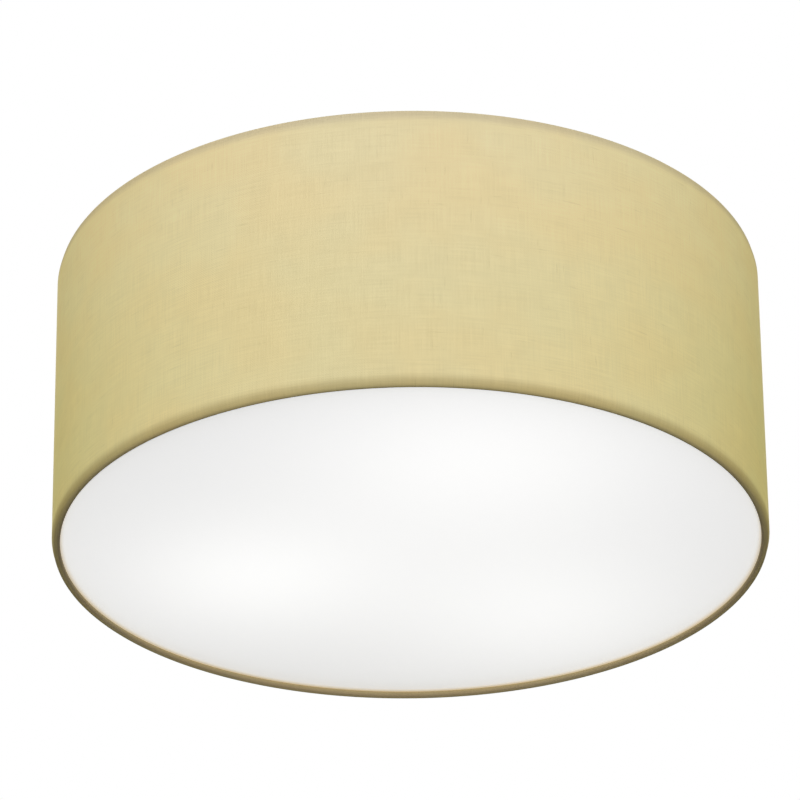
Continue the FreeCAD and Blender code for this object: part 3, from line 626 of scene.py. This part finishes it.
def shade_inside():
    """Both ring wires, the film and the diffuser."""
    ring, lower, upper = shade_rings()
    last = 360 - 360 / WIRE_SIDES
    wire = [ring_section(RING_WIRE / 2, height, 0, last, WIRE_SIDES - 1, ring) for height in (lower, upper)]
    lathe("lower_ring_wire", wire[0], upright(), "shade", "white_wire", "bottom_ring", ROUND_SEGMENTS)
    lathe("upper_ring_wire", wire[1], upright(), "shade", "white_wire", "top_ring", ROUND_SEGMENTS)
    low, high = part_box("shade_liner")
    outside = SHADE_RADIUS - CLOTH - GLUE
    inside = outside - LINER
    film = [(low.z, inside), (low.z, outside), (high.z, outside), (high.z, inside)]
    lathe("backing_film", film, upright(), "shade", "liner_film", "shade_liner", ROUND_SEGMENTS)
    low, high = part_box("diffuser")
    disc = softened([(low.z, 0), (low.z, high.x), (high.z, high.x), (high.z, 0)], [0, 0.0004, 0.0004, 0])
    lathe("opal_disc", disc, upright(), "diffuser", "opal_acrylic", "diffuser", ROUND_SEGMENTS)


# Ceiling side

def hanging_studs():
    """Shoulder studs below the pan, with a round head down and an upset end above the sheet."""
    low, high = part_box("hanging_studs")
    head, shank, upset = 0.005, 0.0025, 0.00325
    head_height, upset_height = 0.002, 0.001
    head_top, sheet_top = low.z + head_height, high.z - upset_height
    circle = (high.y - head) / sin(radians(ARM_ANGLES[0] + STUD_TURN))
    corners = [
        (low.z, 0), (low.z, head), (head_top, head), (head_top, shank), (sheet_top, shank),
        (sheet_top, upset), (high.z, upset), (high.z, 0)]
    profile = softened(corners, [0, 0.0008, 0.0003, 0.0002, 0, 0, 0.0007, 0])
    for number, angle in enumerate(ARM_ANGLES, 1):
        place = upright(*on_circle(circle, angle + STUD_TURN))
        lathe(f"hanging_stud_{number}", profile, place, "base", "zinc_steel", "hanging_studs", SMALL_STEPS)


def bracket_rivets():
    """Rivets with a domed head at both ends."""
    low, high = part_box("bracket_rivets")
    head, shank, head_height, dome = 0.00325, 0.002, 0.001, 0.0018
    below, above = low.z + head_height, high.z - head_height
    corners = [
        (low.z, 0), (low.z, head), (below, head), (below, shank), (above, shank), (above, head),
        (high.z, head), (high.z, 0)]
    profile = softened(corners, [0, dome, 0, 0, 0, 0, dome, 0], DOME_STEPS)
    for number, angle in enumerate(ARM_ANGLES, 1):
        place = upright(*on_circle(RIVET_CIRCLE, angle))
        lathe(f"bracket_rivet_{number}", profile, place, "base", "zinc_steel", "bracket_rivets", SMALL_STEPS)


def machine_screw(name, length, place, finish, replaced):
    """A screw from its tip to its pan head, along the X axis of a place."""
    head_height, head = SCREW_HEAD
    shank_end = length - head_height
    corners = [
        (0, 0), (0, SCREW_RADIUS), (shank_end, SCREW_RADIUS), (shank_end, head), (length, head), (length, 0)]
    profile = softened(corners, [0, 0.0003, 0, 0.0002, 0.0016, 0], DOME_STEPS)
    profile = sampled(profile, SCREW_PITCH / SCREW_ROWS)
    thread = threaded(0, shank_end - SCREW_PITCH, SCREW_PITCH, SCREW_THREAD, SCREW_RADIUS * 0.99, sunk=True)
    return lathe(name, profile, place, "base", finish, replaced, SMALL_STEPS, thread)


def pan_screws():
    """Two screws up through the pan into the bar, each with a cross recess."""
    low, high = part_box("pan_screws")
    recess = (0.0045, 0.0009, 0.003)
    for number, side in enumerate((-1, 1), 1):
        x = side * PAN_SCREW_X
        place = upright(x, 0, high.z, down=True)
        made = machine_screw(f"pan_screw_{number}", high.z - low.z, place, "zinc_steel", "pan_screws")
        carve(made, [block(recess, (x, 0, low.z), turn) for turn in (pi / 4, -pi / 4)])


def earth_fixing():
    """The earth screw, the tag under its head and the striped lead."""
    x, y = EARTH_SCREW_AT
    low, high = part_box("earth_screw")
    slot, slot_turn = (0.009, 0.001, 0.0024), 0.5
    made = machine_screw("earth_screw_brass", high.z - low.z, upright(x, y, low.z), "brass", "earth_screw")
    carve(made, [block(slot, (x, y, high.z), slot_turn)])
    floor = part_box("ceiling_pan")[0].z + PAN_SHEET
    tag_top, hole = floor + TAG_SHEET, SCREW_RADIUS + 0.0001
    tag = softened([(floor, hole), (floor, TAG_RADIUS), (tag_top, TAG_RADIUS), (tag_top, hole)], 0.0001)
    lathe("earth_tag", tag, upright(x, y), "base", "zinc_steel", "earth_lead", MIDDLE_STEPS)
    near, far = TAG_BARREL
    wide, narrow, wire_end = TAG_BARREL_RADIUS, LEAD_RADIUS, far - 0.001
    level = floor + TAG_BARREL_RADIUS
    corners = [(near, 0), (near, wide), (far, wide), (far, narrow), (wire_end, narrow), (wire_end, 0)]
    barrel = softened(corners, [0, 0.0005, 0.0002, 0.0001, 0, 0])
    place = Matrix.Translation((x, y, level))
    lathe("tag_barrel", barrel, place, "base", "zinc_steel", "earth_lead", SMALL_STEPS)
    turn_x = y - BLOCK_FRONT + LEAD_STRAIGHT
    route = [
        Vector((0, BLOCK_FRONT + BLOCK_ENTRY_DEPTH, -EARTH_LEVEL)),
        Vector((0, BLOCK_FRONT - LEAD_STRAIGHT, -EARTH_LEVEL)),
        Vector((turn_x, y, level)),
        Vector((x + wire_end, y, level)),
    ]
    line = softened(route, EARTH_BEND, BEND_STEPS, closed=False)
    swept("earth_wire", line, LEAD_RADIUS, "base", "earth_insulation", "earth_lead")


def block_screws():
    """A slotted brass screw down in each turret of the terminal block."""
    low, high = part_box("terminal_block")
    bottom, top, middle = high.z - TURRET_DEPTH, high.z - TURRET_SUNK, (low.y + high.y) / 2
    radius, slot, slot_turn = TURRET_SCREW_RADIUS, (0.006, 0.0008, 0.002), 0.3
    profile = softened([(bottom, 0), (bottom, radius), (top, radius), (top, 0)], [0, 0.0003, 0.0005, 0])
    for number in (1, 2, 3):
        x = (number - 2) * POLE_PITCH
        place = upright(x, middle)
        made = lathe(f"block_screw_{number}", profile, place, "base", "brass", None, SMALL_STEPS)
        carve(made, [block(slot, (x, middle, top), slot_turn * number)])


def lead_grommet():
    """A rubber ring with a flange on both sides of the pan."""
    low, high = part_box("lead_grommet")
    bore, neck, flange, lip = 0.0042, 0.00645, 0.0085, 0.0014
    below, above = low.z + lip, high.z - lip
    corners = [
        (low.z, bore), (low.z, flange), (below, flange), (below, neck), (above, neck), (above, flange),
        (high.z, flange), (high.z, bore)]
    profile = softened(corners, [0.0005, 0.0006, 0.0003, 0, 0, 0.0003, 0.0006, 0.0005])
    lathe("rubber_grommet", profile, upright(), "base", "grey_rubber", "lead_grommet")


def lamp_lead(name, lamp_angle, side, level, finish, replaced):
    """A lead from the block's pole on one side, down through the grommet and out to a lampholder."""
    pole = side * POLE_PITCH
    x, y = on_circle(LEAD_RING, lamp_angle + side * LEAD_SPREAD)
    out_x, out_y = on_circle(LEAD_END - LEAD_RING * cos(radians(LEAD_SPREAD)), lamp_angle)
    z = -LEAD_LEVELS[level]
    route = [
        Vector((pole, BLOCK_FRONT + BLOCK_ENTRY_DEPTH, z)),
        Vector((pole, BLOCK_FRONT - LEAD_STRAIGHT, z)),
        Vector((x, y, z)),
        Vector((x, y, LAMP_Z)),
        Vector((x + out_x, y + out_y, LAMP_Z)),
    ]
    last = CORNER_SHARE * (route[4] - route[3]).length
    bends = [0, CORNER_SHARE * LEAD_STRAIGHT, LEAD_TOP_BENDS[level], last, 0]
    swept(name, softened(route, bends, BEND_STEPS, closed=False), LEAD_RADIUS, "base", finish, replaced)


def leads():
    """A live lead from the block's left pole and a neutral one from its right pole to each lampholder."""
    levels = {"live": (0, 1, 3), "neutral": (0, 3, 2)}
    for number, lamp_angle in enumerate(LAMP_ANGLES, 1):
        for kind, side in (("live", -1), ("neutral", 1)):
            level = levels[kind][number - 1]
            name, finish = f"{kind}_lead_{number}", f"{kind}_insulation"
            lamp_lead(name, lamp_angle, side, level, finish, f"{kind}_leads")


# Lampholders and lamps, along the X axis of each lamp's place

def reach(kind):
    """Nearest and furthest point of a lamp's node along its axis, and its radius. Lamp 1 points along -Y."""
    low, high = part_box(kind + "_1")
    return -high.y, -low.y, (high.x - low.x) / 2


def ribbed(near, far, least):
    """A lathe shape: ribs between near and far on what is wider than least, which fade out at both ends."""
    depth, fade = 0.0004, 0.001

    def shape(along, radius, turn):
        share = min(along - near, far - along) / fade
        if radius < least or share < 0:
            return radius
        return radius - depth * min(share, 1) * (0.5 - 0.5 * cos(HOLDER_RIBS * turn)) ** 2
    return shape


def lampholder(number, place):
    """The holder's body: a narrow base round the nipple, a ribbed skirt and the shell's socket."""
    near, far, skirt = reach("lampholder")
    base, entry, socket, pocket, chamfer = 0.017, 0.00505, 0.01405, 0.0023, 0.0024
    step, entry_end, floor = near + 0.016, near + 0.008, near + 0.018
    pocket_end = floor - 0.008
    corners = [
        (entry_end, 0), (entry_end, entry), (near, entry), (near, base), (step, base), (step, skirt),
        (far, skirt), (far, socket + chamfer), (far - chamfer, socket), (floor, socket), (floor, pocket),
        (pocket_end, pocket), (pocket_end, 0)]
    profile = softened(
        corners, [0, 0, 0.0004, 0.002, 0.0008, 0.0015, 0.001, 0.0005, 0.0005, 0, 0.0003, 0, 0])
    ribs = ribbed(floor, far - 0.004, skirt - 0.0001)
    lathe(f"holder_body_{number}", sampled(profile, 0.0008), place, "base", "holder_plastic",
          f"lampholder_{number}", HOLDER_RIBS * RIB_STEPS, ribs)


def socket_metal(number, place):
    """The threaded shell and the sprung pin in a lampholder."""
    near, far, outside = reach("screw_shell")
    inside = outside - SHELL_SHEET
    profile = softened([(near, inside), (near, outside), (far, outside), (far, inside)], 0.0001, 2)
    thread = threaded(near, far, THREAD_PITCH, SHELL_THREAD, inside * 0.9)
    lathe(f"socket_shell_{number}", sampled(profile, THREAD_PITCH / THREAD_ROWS), place, "base", "brass",
          f"screw_shell_{number}", THREAD_STEPS, thread)
    near, far, head = reach("contact_pin")
    stem, shoulder = 0.0021, far - 0.0012
    corners = [(near, 0), (near, stem), (shoulder, stem), (shoulder, head), (far, head), (far, 0)]
    profile = softened(corners, [0, 0.0004, 0.0003, 0.0003, 0.001, 0])
    body, replaced = f"contact_{number}", f"contact_pin_{number}"
    lathe(f"spring_contact_{number}", profile, place, body, "brass", replaced, SMALL_STEPS)


def hexagonal(apothem, least):
    """A lathe shape: six flats on what is wider than least."""
    def shape(along, radius, turn):
        return min(radius, apothem / cos(turn % (pi / 3) - pi / 6)) if radius > least else radius
    return shape


def holder_fixing(number, place):
    """The threaded nipple and the nut that hold a lampholder to its leg of the bracket."""
    length, radius, bore, pitch = 0.014, 0.005, 0.0038, 0.001
    near, far = LEAD_END - length, LEAD_END
    corners = [(near, bore), (near, radius), (far, radius), (far, bore)]
    profile = sampled(softened(corners, [0.0003, 0.0005, 0.0005, 0.0003]), pitch / SCREW_ROWS)
    thread = threaded(near, far, pitch, 0.0005, radius * 0.99)
    lathe(f"holder_nipple_{number}", profile, place, "base", "brass", "holder_nipples", SMALL_STEPS, thread)
    start, thick, apothem, bevel = 0.022, 0.003, 0.007, 0.0006
    end, hole, face, corner = start + thick, radius + 0.00005, apothem * 0.97, apothem / cos(pi / 6)
    profile = [
        (start, hole), (start, face), (start + bevel, corner), (end - bevel, corner), (end, face),
        (end, hole)]
    profile, flats = sampled(profile, 0.0002), hexagonal(apothem, radius * 1.1)
    lathe(f"holder_nut_{number}", profile, place, "base", "brass", "holder_nuts", THREAD_STEPS, flats)


def lamp_cap(number, place):
    """The threaded cap, its insulator and its contact."""
    near, far, shell = reach("lamp_cap")
    body, replaced = f"lamp_{number}", f"lamp_cap_{number}"
    cone, thread_start, root = near + 0.0012, near + 0.0057, shell - CAP_THREAD
    seat, rim, wall, inside = cone + 0.0006, root - 0.0006, root - 0.0005, thread_start + 0.0012
    contact_end = cone + 0.0008
    contact = [(near, 0), (near, 0.0042), (contact_end, 0.0046), (contact_end, 0)]
    contact = softened(contact, [0, 0.0012, 0.0003, 0])
    lathe(f"cap_contact_{number}", contact, place, body, "cap_metal", replaced, SMALL_STEPS)
    insulator = [
        (seat, 0), (seat, 0.0044), (cone, 0.0052), (cone, 0.0066), (thread_start - 0.0004, rim),
        (inside, rim), (inside, 0)]
    insulator = softened(insulator, [0, 0.0002, 0.0004, 0.001, 0.0006, 0, 0])
    lathe(f"cap_insulator_{number}", insulator, place, body, "lamp_body_plastic", replaced, MIDDLE_STEPS)
    profile = [(thread_start, wall), (thread_start, shell), (far, shell), (far, wall)]
    profile = sampled(softened(profile, [0.0002, 0.0003, 0.0003, 0.0002]), THREAD_PITCH / THREAD_ROWS)
    thread = threaded(thread_start, far - 0.001, THREAD_PITCH, CAP_THREAD, shell * 0.97, sunk=True)
    lathe(f"cap_shell_{number}", profile, place, body, "cap_metal", replaced, THREAD_STEPS, thread)


def lamp_head(number, place):
    """The lamp's flared housing and its globe."""
    near, joint, wide = reach("lamp_housing")
    middle = reach("lamp_globe")[1] - LAMP_RADIUS
    neck, flare, pull, flare_steps = 0.0143, near + 0.005, 0.011, 16
    tangent = Vector((wide, middle - joint)) / LAMP_RADIUS
    start, end = Vector((flare, neck)), Vector((joint, wide))
    handles = (start, start + Vector((pull, 0)), end - tangent * pull, end)
    curve = []
    for step in range(flare_steps + 1):
        t = step / flare_steps
        weights = ((1 - t) ** 3, 3 * t * (1 - t) ** 2, 3 * t ** 2 * (1 - t), t ** 3)
        curve.append(sum((handle * weight for handle, weight in zip(handles, weights)), Vector((0, 0))))
    edge, lip, lip_end = 0.0006, wide - 0.0004, joint + 0.0005
    profile = [(near, 0), (near, neck - edge), (near + edge, neck)] + curve
    profile += [(joint, lip), (lip_end, lip), (lip_end, 0)]
    body = f"lamp_{number}"
    replaced = f"lamp_housing_{number}"
    lathe(f"flared_housing_{number}", profile, place, body, "lamp_body_plastic", replaced, LAMP_STEPS)

    def dome(radius, steps=40):
        start = pi - atan(wide / (middle - joint))
        turns = [start * (1 - i / steps) for i in range(steps + 1)]
        return [(middle + radius * cos(t), radius * sin(t)) for t in turns]

    profile = dome(LAMP_RADIUS) + dome(LAMP_RADIUS - GLOBE_WALL)[::-1]
    replaced = f"lamp_globe_{number}"
    lathe(f"opal_globe_{number}", profile, place, body, "lamp_globe_plastic", replaced, LAMP_STEPS)


def lamps():
    for number, angle in enumerate(LAMP_ANGLES, 1):
        place = Matrix.Translation((0, 0, LAMP_Z)) @ Matrix.Rotation(radians(angle), 4, "Z")
        lampholder(number, place)
        socket_metal(number, place)
        holder_fixing(number, place)
        lamp_cap(number, place)
        lamp_head(number, place)


def dress_solids():
    """Gives every solid the finish that the record names for it."""
    for row in frame["record"]["subparts"]:
        for entry in nodes[row["node"]].material_slots:
            entry.material = finishes[row["material_slot"]]


# Camera, lights and surroundings

def place_camera():
    """The photograph's camera, which looks up at the light and turns to place it in the frame."""
    camera = bpy.data.objects.new("camera", bpy.data.cameras.new("camera"))
    bpy.context.scene.collection.objects.link(camera)
    camera.data.sensor_width = SENSOR
    camera.data.lens = SENSOR * FOCAL_PIXELS / IMAGE_SIZE
    camera.data.clip_end = 100
    back = Vector((
        sin(VIEW_AZIMUTH) * cos(VIEW_ELEVATION),
        -cos(VIEW_AZIMUTH) * cos(VIEW_ELEVATION),
        sin(VIEW_ELEVATION),
    ))
    right = Vector((cos(VIEW_AZIMUTH), sin(VIEW_AZIMUTH), 0))
    turn = Matrix((right, back.cross(right), back)).transposed()
    aim_up = Matrix.Rotation(atan((DISC_CENTRE_Y - IMAGE_SIZE / 2) / FOCAL_PIXELS), 3, "X")
    aim_left = Matrix.Rotation(atan((DISC_CENTRE_X - IMAGE_SIZE / 2) / FOCAL_PIXELS), 3, "Y")
    roll = Matrix.Rotation(-VIEW_ROLL, 3, "Z")
    spot = Vector((0, 0, cad_low.z)) + back * VIEW_DISTANCE
    camera.matrix_world = Matrix.Translation(spot) @ (turn @ roll @ aim_up @ aim_left).to_4x4()
    bpy.context.scene.camera = camera


def area_light(name, azimuth, elevation, distance, power, colour=(1.0, 1.0, 1.0)):
    """A square soft light that faces the middle of the shade; azimuth 0 is on the -Y side."""
    a, e = radians(azimuth), radians(elevation)
    back = Vector((sin(a) * cos(e), -cos(a) * cos(e), sin(e)))
    lamp = bpy.data.lights.new(name, "AREA")
    lamp.size = LIGHT_SIZE
    lamp.energy = power
    lamp.color = colour
    made = bpy.data.objects.new(name, lamp)
    bpy.context.scene.collection.objects.link(made)
    made.location = Vector((0, 0, (cad_low.z + cad_high.z) / 2)) + back * distance
    made.rotation_euler = back.to_track_quat("Z", "Y").to_euler()


def light_the_scene():
    """Each light: azimuth, elevation, distance and power, and its colour."""
    area_light("key", FRONT, -14, 5, 152, (0.95, 0.935, 1.085))
    area_light("left_fill", FRONT - 80, 25, 5, 42.5, (1.0, 0.93, 0.44))
    area_light("right_fill", FRONT + 80, 25, 5, 38.5, (1.0, 0.93, 0.30))
    area_light("back_fill", FRONT + 180, 22, 5, 140)
    area_light("top_fill", FRONT, 88, 4, 50)


def surround():
    """White behind the light, a weak glow all round it and a small pale floor far below."""
    world = bpy.data.worlds.new("world")
    world.use_nodes = True
    bpy.context.scene.world = world
    tree = world.node_tree
    background = tree.nodes["Background"]
    path = node(tree, "LightPath").outputs
    seen = maths(tree, "MAXIMUM", path["Is Camera Ray"], path["Is Glossy Ray"])
    seen = maths(tree, "MAXIMUM", seen, path["Is Transmission Ray"])
    strength = maths(tree, "MULTIPLY_ADD", seen, 1 - AMBIENT, AMBIENT)
    tree.links.new(strength, background.inputs["Strength"])
    background.inputs["Color"].default_value = (1, 1, 1, 1)
    mesh = bpy.data.meshes.new("floor")
    signs = ((-1, -1), (1, -1), (1, 1), (-1, 1))
    corners = [(x * FLOOR_HALF, y * FLOOR_HALF, FLOOR_LEVEL) for x, y in signs]
    mesh.from_pydata(corners, [], [(0, 1, 2, 3)])
    floor = bpy.data.objects.new("floor", mesh)
    bpy.context.scene.collection.objects.link(floor)
    material, floor_tree, shader, coordinates = surface("floor")
    soft = noise(floor_tree, coordinates["Object"], (0.4, 0.4, 0.4), 2.0)
    pale = mixed(floor_tree, soft, (0.86, 0.86, 0.85), (0.89, 0.89, 0.88))
    seen = node(floor_tree, "LightPath").outputs["Is Camera Ray"]
    feed(
        floor_tree, shader, base_color=pale, roughness=0.9, emission_color=(1.0, 1.0, 1.0),
        emission_strength=maths(floor_tree, "MULTIPLY", seen, FLOOR_WHITE))
    mesh.materials.append(material)


def main():
    bpy.context.scene.view_settings.view_transform = "Standard"
    dress_solids()
    drum_cloth()
    shade_inside()
    hanging_studs()
    bracket_rivets()
    pan_screws()
    earth_fixing()
    block_screws()
    lead_grommet()
    leads()
    lamps()
    place_camera()
    light_the_scene()
    surround()


main()
